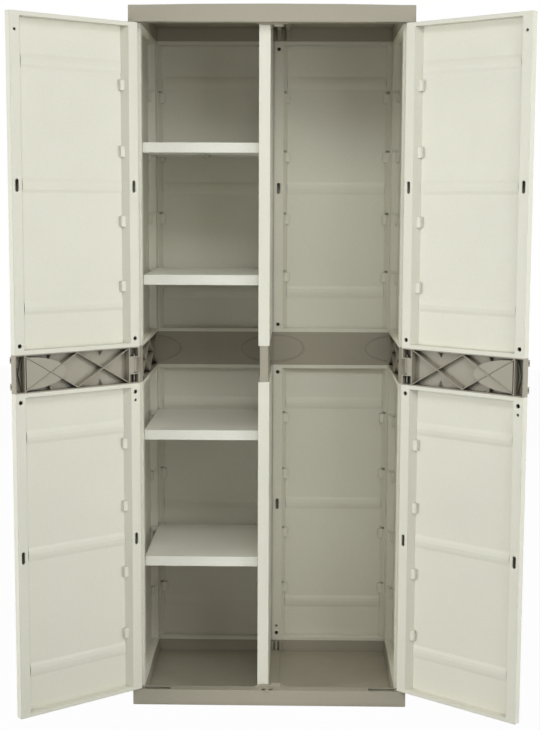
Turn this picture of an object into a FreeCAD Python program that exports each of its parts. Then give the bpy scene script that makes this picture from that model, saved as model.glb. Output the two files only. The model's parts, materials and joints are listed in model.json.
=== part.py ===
"""Tall resin utility cabinet: two hinged doors, a divider and four shelves, millimetres.

The origin is the centre of the base's underside, +X to the right, -Y out of the front, +Z up.
Both doors stand open by the angle door_open.
"""
import FreeCAD, Part
import math
import os
import Sketcher

os.makedirs("parts", exist_ok=True)
doc = FreeCAD.newDocument("garden_cabinet")
sheet = doc.addObject("Spreadsheet::Sheet", "dim")

# Driving sizes: alias, value in millimetres (angles in degrees), what it is.
SIZES = [
    ("cab_width", 700, "width over the base and the cap"),
    ("cab_depth", 440, "depth over the base and the cap"),
    ("tray_tall", 40, "height of the base's and the cap's edge"),
    ("crown", 3, "rise of the roof in the middle"),
    ("crown_start", 32, "roof starts to rise, from the side"),
    ("crown_knee", 175, "knee of the roof from the side"),
    ("knee_rise", 2.2, "rise of the roof at its knee"),
    ("corner_radius", 5.4, "front corners of the base and the cap"),
    ("bury", 1, "an added form reaches this far into the wall that carries it"),
    ("panel_tall", 794, "height of one panel"),
    ("band_tall", 92, "height of the band between two panels"),
    ("board", 22, "thickness of panels and bands over their frames"),
    ("divider_board", 28, "thickness of the divider's panels"),
    ("divider_band_board", 20, "thickness of the divider's band"),
    ("side_inset", 6, "side panels back from the edge of the base"),
    ("rear_inset", 4, "rear panels back from the edge of the base"),
    ("door_back_gap", 4, "gap between a closed door and the side panel behind it"),
    ("door_end_gap", 2, "gap between a door and the base or the cap"),
    ("door_centre_gap", 1.4, "free edge of a closed door to the centre plane"),
    ("hinge_inset", 8, "hinge axis in from the side and from the front"),
    ("door_open", 140, "angle that the doors stand open by"),
    ("skin", 2.4, "thickness of a panel's recessed field"),
    ("edge_radius", 3, "rounding of a door's free edge"),
    ("strip", 26, "flat width of a panel's upright frame"),
    ("rim", 10, "flat height of a panel's top and bottom frame"),
    ("slope", 11, "width of the slope from the frame down to the field"),
    ("hollow_foot", 7, "hollow of an upright frame past the frame's flat, at the outer wall"),
    ("channel_wall", 3.4, "wall round the hollow of an upright frame"),
    ("swage_tall", 34, "height of a cross swage in a field"),
    ("swage_rise", 2.5, "rise of a cross swage"),
    ("groove_tall", 20, "height of the groove behind a cross swage"),
    ("groove_deep", 2, "depth of the groove behind a cross swage"),
    ("groove_lean", 30, "draft angle of the groove's sides"),
    ("swage_pitch", 287, "pitch of the cross swages"),
    ("clip_in", 3.5, "shelf clip starts, from the frame's edge"),
    ("clip_wide", 17.5, "shelf clip ends, from the frame's edge"),
    ("clip_tall", 26, "height of a shelf clip"),
    ("clip_rise", 9, "rise of a shelf clip over the field"),
    ("window_in", 1, "window over a clip starts, from the frame's edge"),
    ("window_wide", 10, "window over a clip ends, from the frame's edge"),
    ("window_tall", 6, "height of the window over a clip"),
    ("window_floor", 4.5, "window over a clip stops short of the outer face"),
    ("clip_near", 85, "inner shelf clips from the panel's middle"),
    ("clip_far", 245, "outer shelf clips from the panel's middle"),
    ("eye_radius", 5.2, "radius of a fixing eye"),
    ("pip_radius", 3.4, "radius of a second, smaller fixing eye"),
    ("eye_end", 21, "first fixing eye from the panel's end"),
    ("eye_second", 42, "second fixing eye from the panel's end"),
    ("slit_wide", 9, "width of the slot in an upright frame"),
    ("slit_long", 30, "length of the slot in an upright frame"),
    ("plug_tall", 14, "height of a plug that enters an upright frame"),
    ("plug_gap", 0.25, "clearance round a plug"),
    ("wall", 2.6, "wall of the base, the cap and the bands"),
    ("web", 2.4, "thickness of a stiffening rib"),
    ("gusset_tall", 16, "height of a gusset that props a band's rim"),
    ("rib_drop", 2, "ribs below a band's inner face"),
    ("floor_top", 8, "top of the floor over the underside"),
    ("roof_wall", 4, "thickness of the roof at its edge"),
    ("ledge", 30, "depth of the front ledge of base and cap"),
    ("draft", 3, "draft angle of the tray walls"),
    ("plinth_rise", 4, "rise of the track that the divider stands on"),
    ("plinth_left", 31, "track's left edge from the centre plane"),
    ("plinth_right", 23, "track's right edge from the centre plane"),
    ("stop_wide", 82, "width of the door stop"),
    ("stop_deep", 8, "depth of the door stop"),
    ("stop_rise", 5.5, "rise of the base's door stop over the ledge"),
    ("cap_stop_rise", 3.6, "drop of the cap's door stop below its edge"),
    ("catch_left", 5, "catch on the door stop starts, from the centre plane"),
    ("catch_right", 28, "catch on the door stop ends, from the centre plane"),
    ("catch_rise", 4.5, "catch over the door stop"),
    ("stop_past", 2, "door stop past the ledge's inner edge"),
    ("divider_right", 3, "divider's right face from the centre plane"),
    ("keeper_left", 10.5, "keeper on the front ledge, left of the centre plane"),
    ("keeper_wide", 10, "width of the keeper"),
    ("keeper_deep", 11, "depth of the keeper behind the front of the base"),
    ("keeper_rise", 1.4, "rise of the keeper over the ledge"),
    ("lip_out", 1.4, "keeper's lip before the front of the base"),
    ("lip_drop", 5, "keeper's lip hangs below the ledge"),
    ("nick_wide", 9, "width of the nick on each side of the keeper"),
    ("nick_front", 2.6, "nick from the front of the base"),
    ("nick_deep", 12, "depth of a nick from front to rear"),
    ("slot_start", 24, "ledge slot from the side of the base"),
    ("slot_wide", 71, "length of a ledge slot"),
    ("slot_deep", 21, "depth of a ledge slot"),
    ("slot_front", 3.5, "ledge slot from the front of the base"),
    ("pivot_radius", 3.7, "radius of an end pivot"),
    ("pivot_long", 13, "length of an end pivot below its collar"),
    ("pivot_spare", 2, "depth of a pivot's hole past the pivot's end"),
    ("pin_radius", 3, "radius of the middle hinge pin"),
    ("pin_gap", 0.05, "radial clearance of a pin in its hole"),
    ("collar_edge", 2, "end pivot's collar in from the edges of the door's frame"),
    ("seat_gap", 0.3, "clearance where a loose piece is seated"),
    ("knuckle_radius", 6, "radius of the middle hinge knuckle"),
    ("knuckle_tall", 37.6, "height of the middle hinge knuckle"),
    ("arm_shy", 1, "hinge arm's rear face in front of the knuckle's"),
    ("notch_gap", 1, "clearance over and under the knuckle"),
    ("notch_wide", 17, "width of the notch round the knuckle"),
    ("ear_wall", 4.1, "wall of the hinge cells at the hinge edge"),
    ("cell_wide", 21, "width of the hinge cell in a door band"),
    ("grip_wide", 22, "width of the hollow grip at a door's free edge"),
    ("grip_rib", 11, "height of the crossed ribs inside the grip"),
    ("dish_long", 106, "length of the finger dish in a door band"),
    ("dish_half", 39, "half height of the finger dish"),
    ("dish_deep", 15, "depth of the finger dish"),
    ("dish_land", 7.2, "flat strip between the finger dish and the grip"),
    ("arc_reach", 85, "tip of a rear band's half ellipse from its flat side"),
    ("arc_deep", 1.6, "depth of the line round a rear band's half ellipse"),
    ("arc_line", 4.5, "width of the line round a rear band's half ellipse"),
    ("diamond", 170, "tip of the rib diamond from the hinge axis"),
    ("eye_lug_rise", 12, "padlock lug over the door's face"),
    ("eye_lug_wide", 16, "height of a padlock lug"),
    ("eye_lug_thick", 6, "thickness of a padlock lug"),
    ("eye_lug_edge", 4, "padlock lug from the door's free edge"),
    ("eye_lug_end", 14, "padlock lug's middle from the band's edge"),
    ("lock_radius", 3.6, "radius of the padlock hole"),
    ("lock_out", 6.5, "padlock hole's middle from the door's face"),
    ("shelf_thick", 25, "thickness of a shelf"),
    ("shelf_front", 55, "shelf's front edge behind the cabinet's front"),
    ("shelf_plate", 3.4, "thickness of a shelf's top plate"),
    ("shelf_ear", 6, "width of a shelf's ear on a clip"),
    ("ear_thick", 11, "thickness of a shelf's ear"),
    ("ear_gap", 2, "end of a shelf's ear from the panel's field"),
    ("flute_deep", 10, "depth of the ribs beside the divider"),
    ("flute_start", 2, "base's first rib, left of the centre plane"),
    ("flute_reach", 28.25, "base's last rib ends, from the centre plane"),
    ("flute_gap", 5, "gap between the base's ribs"),
    ("beam_start", 9, "cap's first rib, from the centre plane"),
    ("beam_reach", 43, "cap's last rib ends, from the centre plane"),
    ("beam_gap", 13, "gap between the cap's ribs"),
    ("beam_drop", 8, "drop of the ribs under the cap's ceiling"),
    ("flute_drop", 1, "ribs beside the divider below the rim"),
]
for row, (alias, value, note) in enumerate(SIZES, start=1):
    sheet.set("A%d" % row, note)
    sheet.set("B%d" % row, str(value))
    sheet.setAlias("B%d" % row, alias)
doc.recompute()


# ---------------------------------------------------------------- reading and drawing

def amount(expression):
    """Value of an expression over the sheet, as a plain number."""
    value = sheet.evalExpression(expression)
    return float(getattr(value, "Value", value))


def new_body(label):
    body = doc.addObject("PartDesign::Body", label)
    body.Label = label
    pieces.append(body)
    return body


def new_sketch(body, name, role, offset=None):
    """Sketch on one of the body's own origin planes, moved along the plane's normal by offset."""
    planes = [feature for feature in body.Origin.OriginFeatures if feature.Role == role]
    sketch = body.newObject("Sketcher::SketchObject", name)
    sketch.AttachmentSupport = (planes[0], [""])
    sketch.MapMode = "FlatFace"
    if offset:
        sketch.setExpression("AttachmentOffset.Base.z", offset)
    return sketch


def fix_point(sketch, element, point, place):
    """Hold a point at a pair of expressions from the sketch's origin."""
    for kind, expression in zip(("DistanceX", "DistanceY"), place):
        rule = Sketcher.Constraint(kind, -1, 1, element, point, amount(expression))
        sketch.setExpression("Constraints[%d]" % sketch.addConstraint(rule), expression)


def polygon(sketch, corners):
    """Closed outline through corners, each a pair of expressions."""
    points = [FreeCAD.Vector(amount(x), amount(y), 0) for x, y in corners]
    first = sketch.GeometryCount
    count = len(points)
    sides = [Part.LineSegment(points[i], points[(i + 1) % count]) for i in range(count)]
    sketch.addGeometry(sides, False)
    for i in range(count):
        follower = first + (i + 1) % count
        sketch.addConstraint(Sketcher.Constraint("Coincident", first + i, 2, follower, 1))
        fix_point(sketch, first + i, 1, corners[i])


def rectangle(sketch, left, low, right, high):
    polygon(sketch, [(left, low), (right, low), (right, high), (left, high)])


def circle(sketch, place, radius):
    centre = FreeCAD.Vector(amount(place[0]), amount(place[1]), 0)
    normal = FreeCAD.Vector(0, 0, 1)
    element = sketch.addGeometry(Part.Circle(centre, normal, amount(radius)), False)
    fix_point(sketch, element, 3, place)
    rule = sketch.addConstraint(Sketcher.Constraint("Radius", element, amount(radius)))
    sketch.setExpression("Constraints[%d]" % rule, radius)


def upright_slot(sketch, place, wide, long):
    """Slot with bevelled ends, standing along the sketch's second axis."""
    x, y = place
    half, rise, bevel = "%s/2" % wide, "%s/2" % long, "%s/3" % wide
    right, right_in = "%s+%s" % (x, half), "%s+%s-%s" % (x, half, bevel)
    left, left_in = "%s-%s" % (x, half), "%s-%s+%s" % (x, half, bevel)
    top, top_in = "%s+%s" % (y, rise), "%s+%s-%s" % (y, rise, bevel)
    low, low_in = "%s-%s" % (y, rise), "%s-%s+%s" % (y, rise, bevel)
    polygon(sketch, [(right, low_in), (right, top_in), (right_in, top), (left_in, top),
                     (left, top_in), (left, low_in), (left_in, low), (right_in, low)])


ARC_STEPS = 20
ROUND_SIDES = 12


def half_ellipse(sketch, flat_x, tip_x, middle, half):
    """Half an ellipse of short straight sides, flat at flat_x and with its tip at tip_x."""
    corners = []
    for step in range(ARC_STEPS + 1):
        turn = math.pi * step / ARC_STEPS
        x = "%s+(%s-(%s))*%.5f" % (flat_x, tip_x, flat_x, math.sin(turn))
        y = "%s+(%s)*(%.5f)" % (middle, half, math.cos(turn))
        corners.append((x, y))
    polygon(sketch, corners)


def round_eye(sketch, place, radius):
    """Round opening of short straight sides."""
    corners = []
    for step in range(ROUND_SIDES):
        turn = 2 * math.pi * (step + 0.5) / ROUND_SIDES
        x = "%s+%s*(%.5f)" % (place[0], radius, math.cos(turn))
        y = "%s+%s*(%.5f)" % (place[1], radius, math.sin(turn))
        corners.append((x, y))
    polygon(sketch, corners)


# ---------------------------------------------------------------- features

def swept(body, kind, sketch, length, backwards, taper):
    """Pad or pocket with its length bound to the sheet, tested by the volume it makes."""
    before = body.Shape.Volume if body.Tip else 0.0
    feature = body.newObject("PartDesign::" + kind, kind.lower())
    feature.Profile = sketch
    feature.Reversed = backwards
    feature.setExpression("Length", length)
    if taper:
        feature.setExpression("TaperAngle", taper)
    sketch.Visibility = False
    doc.recompute()
    gained = body.Shape.Volume - before
    if gained == 0 or (gained > 0) != (kind == "Pad"):
        raise RuntimeError("%s on %s changes the volume by %.3f" % (kind, body.Label, gained))
    return feature


def pad(body, sketch, length, backwards=False, taper=None):
    return swept(body, "Pad", sketch, length, backwards, taper)


def pocket(body, sketch, length, backwards=False, taper=None):
    return swept(body, "Pocket", sketch, length, backwards, taper)


def round_upright(body, x, y, radius):
    """Round the upright edge of the body that stands at x, y."""
    place_x, place_y = amount(x), amount(y)
    near = 1e-2
    most = 0.9 * body.Shape.BoundBox.ZLength
    names = []
    for number, edge in enumerate(body.Shape.Edges, start=1):
        box = edge.BoundBox
        at_place = abs(box.Center.x - place_x) < near and abs(box.Center.y - place_y) < near
        if box.ZLength > most and at_place and box.XLength < near:
            names.append("Edge%d" % number)
    fillet = body.newObject("PartDesign::Fillet", "fillet")
    fillet.Base = (body.Tip if body.Tip != fillet else fillet.BaseFeature, names)
    fillet.setExpression("Radius", radius)
    doc.recompute()


def slab(label, wide, board, tall):
    """Body that starts as a plain board with its outer face on Y = 0."""
    body = new_body(label)
    outline = new_sketch(body, "outline", "XY_Plane")
    rectangle(outline, "0", "0", wide, board)
    pad(body, outline, tall)
    return body


def channels(wide, board, gap="0"):
    """The two hollows of the upright frames, as left, low, right, high in plan."""
    near = "dim.channel_wall+%s" % gap
    far = "dim.strip-dim.channel_wall-%s" % gap
    high = "%s-dim.channel_wall-%s" % (board, gap)
    return [(near, near, far, high),
            ("%s-(%s)" % (wide, far), near, "%s-(%s)" % (wide, near), high)]


def plugs(body, wide, board, top):
    """Plugs over and under a band that enter the frames of the panels above and below."""
    for offset, backwards in ((top, False), (None, True)):
        sketch = new_sketch(body, "plug_section", "XY_Plane", offset)
        for section in channels(wide, board, "dim.plug_gap"):
            rectangle(sketch, *section)
        pad(body, sketch, "dim.plug_tall", backwards)


# ---------------------------------------------------------------- panels

LOW_SIDE, HIGH_SIDE = "low side", "high side"
BOTH_SIDES = (LOW_SIDE, HIGH_SIDE)
BOTTOM, TOP = False, True
CLIP_STEPS = ("-dim.clip_far", "-dim.clip_near", "+dim.clip_near", "+dim.clip_far")
SHOULDER = 0.53


def field(body, wide, tall, face, over, floor):
    """Recessed field with sloping sides and square ends, from a face down to floor."""
    foot = "dim.strip+dim.slope"
    sketch = new_sketch(body, "field_plan", "XY_Plane", "dim.rim")
    polygon(sketch, [("dim.strip", over), ("dim.strip", face), (foot, floor),
                     ("%s-(%s)" % (wide, foot), floor), ("%s-dim.strip" % wide, face),
                     ("%s-dim.strip" % wide, over)])
    pocket(body, sketch, "%s-2*dim.rim" % tall, True)


def spans(wide, start, end):
    """Distances from a frame's edge, as a left and a right edge beside each frame."""
    near, far = "dim.strip+%s" % start, "dim.strip+%s" % end
    return {LOW_SIDE: (near, far), HIGH_SIDE: ("%s-(%s)" % (wide, far), "%s-(%s)" % (wide, near))}


def clips(body, wide, level, plane_offset, height, backwards, sides=BOTH_SIDES):
    """Four shelf clips beside an upright frame, in pairs over and under a level."""
    sketch = new_sketch(body, "clip_outline", "XZ_Plane", plane_offset)
    edges = spans(wide, "dim.clip_in", "dim.clip_wide")
    for step in CLIP_STEPS:
        low = "%s%s-dim.clip_tall/2" % (level, step)
        high = "%s%s+dim.clip_tall/2" % (level, step)
        for side in sides:
            left, right = edges[side]
            rectangle(sketch, left, low, right, high)
    pad(body, sketch, height, backwards)


def windows(body, wide, level):
    """Window over each clip, through the slope into the hollow of the frame."""
    sketch = new_sketch(body, "window_outline", "XZ_Plane", "-dim.board")
    edges = spans(wide, "dim.window_in", "dim.window_wide")
    for step in CLIP_STEPS:
        low = "%s%s+dim.clip_tall/2" % (level, step)
        for left, right in edges.values():
            rectangle(sketch, left, low, right, "%s+dim.window_tall" % low)
    pocket(body, sketch, "dim.board-dim.window_floor", True)


def swages(body, wide, tall):
    """Three cross swages, rounded inside and grooved outside."""
    margin = "dim.strip+dim.slope"
    ridge = new_sketch(body, "swage_profile", "YZ_Plane", margin)
    groove = new_sketch(body, "groove_outline", "XZ_Plane")
    buried, crest = "dim.skin-dim.bury", "dim.skin+dim.swage_rise"
    shoulder = "dim.skin+dim.swage_rise*%.4f" % (1 - SHOULDER ** 2)
    for step in ("-dim.swage_pitch", "", "+dim.swage_pitch"):
        middle = "%s/2%s" % (tall, step)
        low, high = "%s-dim.swage_tall/2" % middle, "%s+dim.swage_tall/2" % middle
        polygon(ridge, [(buried, low), ("dim.skin", low),
                        (shoulder, "%s-dim.swage_tall/2*%.2f" % (middle, SHOULDER)), (crest, middle),
                        (shoulder, "%s+dim.swage_tall/2*%.2f" % (middle, SHOULDER)),
                        ("dim.skin", high), (buried, high)])
        inset = "%s+dim.skin" % margin
        rectangle(groove, inset, "%s-dim.groove_tall/2" % middle, "%s-(%s)" % (wide, inset),
                  "%s+dim.groove_tall/2" % middle)
    pad(body, ridge, "%s-2*(%s)" % (wide, margin))
    pocket(body, groove, "dim.groove_deep", False, "-dim.groove_lean")


def hollows(body, wide, tall, shut_side=None, shut_end=None):
    """Hollows of the upright frames; the shut side keeps a wall at one end."""
    low, high = "dim.channel_wall", "dim.board-dim.channel_wall"
    section = [("dim.channel_wall", low), ("dim.strip+dim.hollow_foot", low),
               ("dim.strip-dim.channel_wall", high), ("dim.channel_wall", high)]
    turned = [("%s-(%s)" % (wide, x), y) for x, y in section]
    for side, corners in ((LOW_SIDE, section), (HIGH_SIDE, turned)):
        start = "dim.wall" if side == shut_side and shut_end == BOTTOM else None
        sketch = new_sketch(body, "hollow_section", "XY_Plane", start)
        polygon(sketch, corners)
        pocket(body, sketch, "%s-dim.wall" % tall if side == shut_side else tall, True)


def frame_openings(body, wide, tall, slots, eyes):
    """Middle slots and fixing eyes through the inner wall of the upright frames."""
    sketch = new_sketch(body, "opening_outline", "XZ_Plane", "-dim.board")
    middle = {LOW_SIDE: "dim.strip/2", HIGH_SIDE: "%s-dim.strip/2" % wide}
    for side in slots:
        upright_slot(sketch, (middle[side], "%s/2" % tall), "dim.slit_wide", "dim.slit_long")
    for side, at_top, (distance, radius) in eyes:
        level = "%s-%s" % (tall, distance) if at_top else distance
        round_eye(sketch, (middle[side], level), radius)
    pocket(body, sketch, "dim.channel_wall+dim.bury", True)


def blank_panel(label, wide, tall, clip_sides, corners=()):
    """Board with its recess, swages and clips; corners are x and radius of rounded edges."""
    body = slab(label, wide, "dim.board", tall)
    for x, radius in corners:
        round_upright(body, x, "0", radius)
    field(body, wide, tall, "dim.board", "dim.board+dim.bury", "dim.skin")
    swages(body, wide, tall)
    clips(body, wide, "%s/2" % tall, "-(dim.skin-dim.bury)", "dim.clip_rise+dim.bury", True, clip_sides)
    return body


def wall_panel(label, wide, slots, eyes):
    """Panel of a side or rear wall, with clips and windows beside both frames."""
    body = blank_panel(label, wide, "dim.panel_tall", BOTH_SIDES)
    hollows(body, wide, "dim.panel_tall")
    windows(body, wide, "dim.panel_tall/2")
    frame_openings(body, wide, "dim.panel_tall", slots, eyes)
    return body


def door_panel(label, wide, tall, eyes, hinge_side, outer_end):
    """Panel of a door, rounded at both edges, with clips beside its hinge frame."""
    edge = {LOW_SIDE: "0", HIGH_SIDE: wide}
    free_side = HIGH_SIDE if hinge_side == LOW_SIDE else LOW_SIDE
    corners = ((edge[hinge_side], "dim.hinge_inset"), (edge[free_side], "dim.edge_radius"))
    body = blank_panel(label, wide, tall, (hinge_side,), corners)
    hollows(body, wide, tall, free_side, outer_end)
    frame_openings(body, wide, tall, BOTH_SIDES, eyes)
    return body


def divider_panel(label, wide, tall, level):
    """Divider panel: the same frame and clips, recessed from both faces."""
    body = slab(label, wide, "dim.divider_board", tall)
    field(body, wide, tall, "dim.divider_board", "dim.divider_board+dim.bury",
          "(dim.divider_board+dim.skin)/2")
    field(body, wide, tall, "0", "-dim.bury", "(dim.divider_board-dim.skin)/2")
    middle = "dim.divider_board/2"
    reach = "dim.skin/2+dim.clip_rise"
    clips(body, wide, level, "-%s" % middle, reach, True)
    clips(body, wide, level, "-%s" % middle, reach, False)
    hollow = new_sketch(body, "hollow_section", "XY_Plane")
    for section in channels(wide, "dim.divider_board"):
        rectangle(hollow, *section)
    pocket(body, hollow, tall, True)
    return body


# ---------------------------------------------------------------- bands

def open_box(body, left, low, right, high):
    """Pocket from a band's inner face down to its outer wall."""
    sketch = new_sketch(body, "cell_outline", "XZ_Plane", "-dim.board")
    rectangle(sketch, left, low, right, high)
    pocket(body, sketch, "dim.board-dim.wall", True)


def bar(body, start, end, rise):
    """Slanting rib on a band's outer wall between two points of the inner view."""
    half = "dim.web/2"
    sketch = new_sketch(body, "rib_outline", "XZ_Plane", "-(dim.wall-dim.bury)")
    polygon(sketch, [(start[0], "%s-%s" % (start[1], half)), (end[0], "%s-%s" % (end[1], half)),
                     (end[0], "%s+%s" % (end[1], half)), (start[0], "%s+%s" % (start[1], half))])
    pad(body, sketch, rise, True)


def gusset(body, x, rim, inwards):
    """Upright three-cornered rib at x that props a band's rim."""
    sketch = new_sketch(body, "gusset_outline", "YZ_Plane", "%s-dim.web/2" % x)
    foot, crest = "dim.wall-dim.bury", "dim.board-dim.rib_drop"
    root, tip = "%s-(%sdim.bury)" % (rim, inwards), "%s%sdim.gusset_tall" % (rim, inwards)
    polygon(sketch, [(foot, root), (crest, root), (foot, tip)])
    pad(body, sketch, "dim.web")


def lattice(body, left, middle, right):
    """Two crosses of slanting ribs that meet as a diamond, with gussets over and under each."""
    low = "dim.wall+dim.web/2"
    high = "dim.band_tall-dim.wall-dim.web/2"
    rise = "dim.board-dim.wall+dim.bury-dim.rib_drop"
    bar(body, (left, low), (middle, high), rise)
    bar(body, (left, high), (middle, low), rise)
    bar(body, (middle, low), (right, high), rise)
    bar(body, (middle, high), (right, low), rise)
    for crossing in ("(%s+%s)/2" % (left, middle), "(%s+%s)/2" % (middle, right)):
        gusset(body, crossing, "dim.wall", "+")
        gusset(body, crossing, "dim.band_tall-dim.wall", "-")


def side_band(label, wide):
    """Band of a side wall, ribbed inside, with the arm and knuckle of the middle hinge."""
    body = slab(label, wide, "dim.board", "dim.band_tall")
    open_box(body, "dim.wall", "dim.wall", "%s-dim.wall" % wide, "dim.band_tall-dim.wall")
    lattice(body, "dim.wall", "%s/2" % wide, "%s-dim.wall" % wide)
    axis_x = "%s+dim.board+dim.door_back_gap-dim.hinge_inset" % wide
    axis_y = "dim.hinge_inset-dim.side_inset"
    low = "(dim.band_tall-dim.knuckle_tall)/2"
    arm = new_sketch(body, "arm_plan", "XY_Plane", low)
    rectangle(arm, "%s-dim.wall" % wide, "%s-dim.knuckle_radius" % axis_y,
              axis_x, "%s+dim.knuckle_radius-dim.arm_shy" % axis_y)
    pad(body, arm, "dim.knuckle_tall")
    knuckle = new_sketch(body, "knuckle_plan", "XY_Plane", low)
    circle(knuckle, (axis_x, axis_y), "dim.knuckle_radius")
    pad(body, knuckle, "dim.knuckle_tall")
    bore = new_sketch(body, "bore_plan", "XY_Plane", low)
    circle(bore, (axis_x, axis_y), "dim.pin_radius+dim.pin_gap")
    pocket(body, bore, "dim.knuckle_tall", True)
    plugs(body, wide, "dim.board", "dim.band_tall")
    return body


def rear_band(label, wide):
    """Smooth band of the rear wall, with a sunk line round a half ellipse at each end."""
    body = slab(label, wide, "dim.board", "dim.band_tall")
    core = new_sketch(body, "core_section", "XY_Plane")
    span = "(%s-2*dim.strip+dim.web)/4" % wide
    for cell in range(4):
        start = "dim.strip+%d*%s" % (cell, span)
        rectangle(core, start, "dim.wall", "%s+%s-dim.web" % (start, span), "dim.board-dim.wall")
    pocket(body, core, "dim.band_tall", True)
    deep, island = "dim.board", "(dim.board-dim.arc_deep-dim.bury/2)"
    for plane, inset, shape_it, height in ((deep, "0", pocket, "dim.arc_deep"),
                                           (island, "dim.arc_line", pad, "dim.arc_deep+dim.bury/2")):
        arcs = new_sketch(body, "arc_outline", "XZ_Plane", "-%s" % plane)
        reach = "dim.web+dim.arc_reach-%s" % inset
        half = "dim.dish_half-%s" % inset
        half_ellipse(arcs, "dim.web", reach, "dim.band_tall/2", half)
        half_ellipse(arcs, "%s-dim.web" % wide, "%s-(%s)" % (wide, reach), "dim.band_tall/2", half)
        shape_it(body, arcs, height, True)
    plugs(body, wide, "dim.board", "dim.band_tall")
    return body


def divider_band(label, wide):
    body = slab(label, wide, "dim.divider_band_board", "dim.band_tall")
    core = new_sketch(body, "core_section", "XY_Plane")
    rectangle(core, "dim.strip", "dim.wall", "%s/2-dim.web/2" % wide, "dim.divider_band_board-dim.wall")
    rectangle(core, "%s/2+dim.web/2" % wide, "dim.wall", "%s-dim.strip" % wide,
              "dim.divider_band_board-dim.wall")
    pocket(body, core, "dim.band_tall", True)
    for offset, backwards in (("dim.band_tall", False), (None, True)):
        sketch = new_sketch(body, "plug_section", "XY_Plane", offset)
        shift = "(dim.divider_board-dim.divider_band_board)/2"
        for left, low, right, high in channels(wide, "dim.divider_board", "dim.plug_gap"):
            rectangle(sketch, left, "%s-%s" % (low, shift), right, "%s-%s" % (high, shift))
        pad(body, sketch, "dim.plug_tall", backwards)
    return body


def door_band(label, wide):
    """Door band: ribbed lattice, finger dish, hollow grip, padlock lugs and the hinge's ears."""
    body = slab(label, wide, "dim.board", "dim.band_tall")
    round_upright(body, "0", "0", "dim.hinge_inset")
    round_upright(body, wide, "0", "dim.edge_radius")
    top = "dim.band_tall-dim.wall"
    grip = "%s-dim.wall-dim.grip_wide" % wide
    cell = "dim.hinge_inset+dim.cell_wide"
    open_box(body, "%s+dim.wall" % cell, "dim.wall", "%s-dim.wall" % grip, top)
    open_box(body, grip, "dim.wall", "%s-dim.wall" % wide, top)

    lattice(body, "%s+dim.wall" % cell, "dim.diamond+dim.hinge_inset", "%s-dim.wall" % grip)
    low_end = "dim.wall+dim.web/2"
    high_end = "dim.band_tall-dim.wall-dim.web/2"
    bar(body, (grip, low_end), ("%s-dim.wall" % wide, high_end), "dim.grip_rib")
    bar(body, (grip, high_end), ("%s-dim.wall" % wide, low_end), "dim.grip_rib")

    # The dish swells inwards as the same wall goes round the finger recess.
    dish_flat = "%s-dim.wall-dim.dish_land" % grip
    dish_tip = "%s-dim.dish_long" % dish_flat
    swell = new_sketch(body, "swell_outline", "XZ_Plane", "-(dim.wall-dim.bury)")
    half_ellipse(swell, "%s+dim.wall" % dish_flat, dish_tip, "dim.band_tall/2", "dim.dish_half")
    pad(body, swell, "dim.dish_deep+dim.bury", True)
    recess = new_sketch(body, "recess_outline", "XZ_Plane")
    half_ellipse(recess, dish_flat, "%s+dim.wall" % dish_tip, "dim.band_tall/2", "dim.dish_half-dim.wall")
    pocket(body, recess, "dim.dish_deep", False)

    # Two cells over and under the knuckle leave an ear on each side of the notch.
    notch_low = "(dim.band_tall-dim.knuckle_tall)/2-dim.notch_gap"
    notch_high = "(dim.band_tall+dim.knuckle_tall)/2+dim.notch_gap"
    open_box(body, "dim.ear_wall", "dim.wall", cell, "%s-dim.wall" % notch_low)
    open_box(body, "dim.ear_wall", "%s+dim.wall" % notch_high, cell, top)
    notch = new_sketch(body, "notch_outline", "XZ_Plane", "-dim.board")
    rectangle(notch, "0", notch_low, "dim.notch_wide", notch_high)
    pocket(body, notch, "dim.board", True)
    bore = new_sketch(body, "bore_plan", "XY_Plane", "%s-dim.wall" % notch_low)
    circle(bore, ("dim.hinge_inset", "dim.hinge_inset"), "dim.pin_radius+dim.pin_gap")
    pocket(body, bore, "%s-(%s)+2*dim.wall" % (notch_high, notch_low), True)

    # A padlock lug near each end of the free edge, on the outer face.
    inner = "%s-dim.eye_lug_edge" % wide
    outer = "%s-dim.eye_lug_thick" % inner
    half_lug = "dim.eye_lug_wide/2"
    for middle in ("dim.eye_lug_end", "dim.band_tall-dim.eye_lug_end"):
        lug = new_sketch(body, "lug_plan", "XZ_Plane")
        rectangle(lug, outer, "%s-%s" % (middle, half_lug), inner, "%s+%s" % (middle, half_lug))
        pad(body, lug, "dim.eye_lug_rise")
        eye = new_sketch(body, "lug_eye", "YZ_Plane", outer)
        circle(eye, ("-dim.lock_out", middle), "dim.lock_radius")
        pocket(body, eye, "dim.eye_lug_thick", True)
    plugs(body, wide, "dim.board", "dim.band_tall")
    return body


# ---------------------------------------------------------------- base, cap and shelves

def row_of_cells(sketch, left, low, right, high, count, gap):
    """Row of equal rectangles along the sketch's first axis."""
    span = "(%s-(%s)+%s)/%d" % (right, left, gap, count)
    for cell in range(count):
        start = "%s+%d*%s" % (left, cell, span)
        rectangle(sketch, start, low, "%s+%s-%s" % (start, span, gap), high)


def column_of_cells(sketch, left, low, right, high, count, gap):
    """Column of equal rectangles along the sketch's second axis."""
    span = "(%s-(%s)+%s)/%d" % (high, low, gap, count)
    for cell in range(count):
        start = "%s+%d*%s" % (low, cell, span)
        rectangle(sketch, left, start, right, "%s+%s-%s" % (start, span, gap))


def tray_edges():
    """Inner walls of the base and the cap in plan, flush with the panels' frames."""
    left = "dim.side_inset+dim.board"
    back = "dim.cab_depth-dim.rear_inset-dim.board"
    return left, "dim.ledge", "dim.cab_width-(%s)" % left, back


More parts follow.
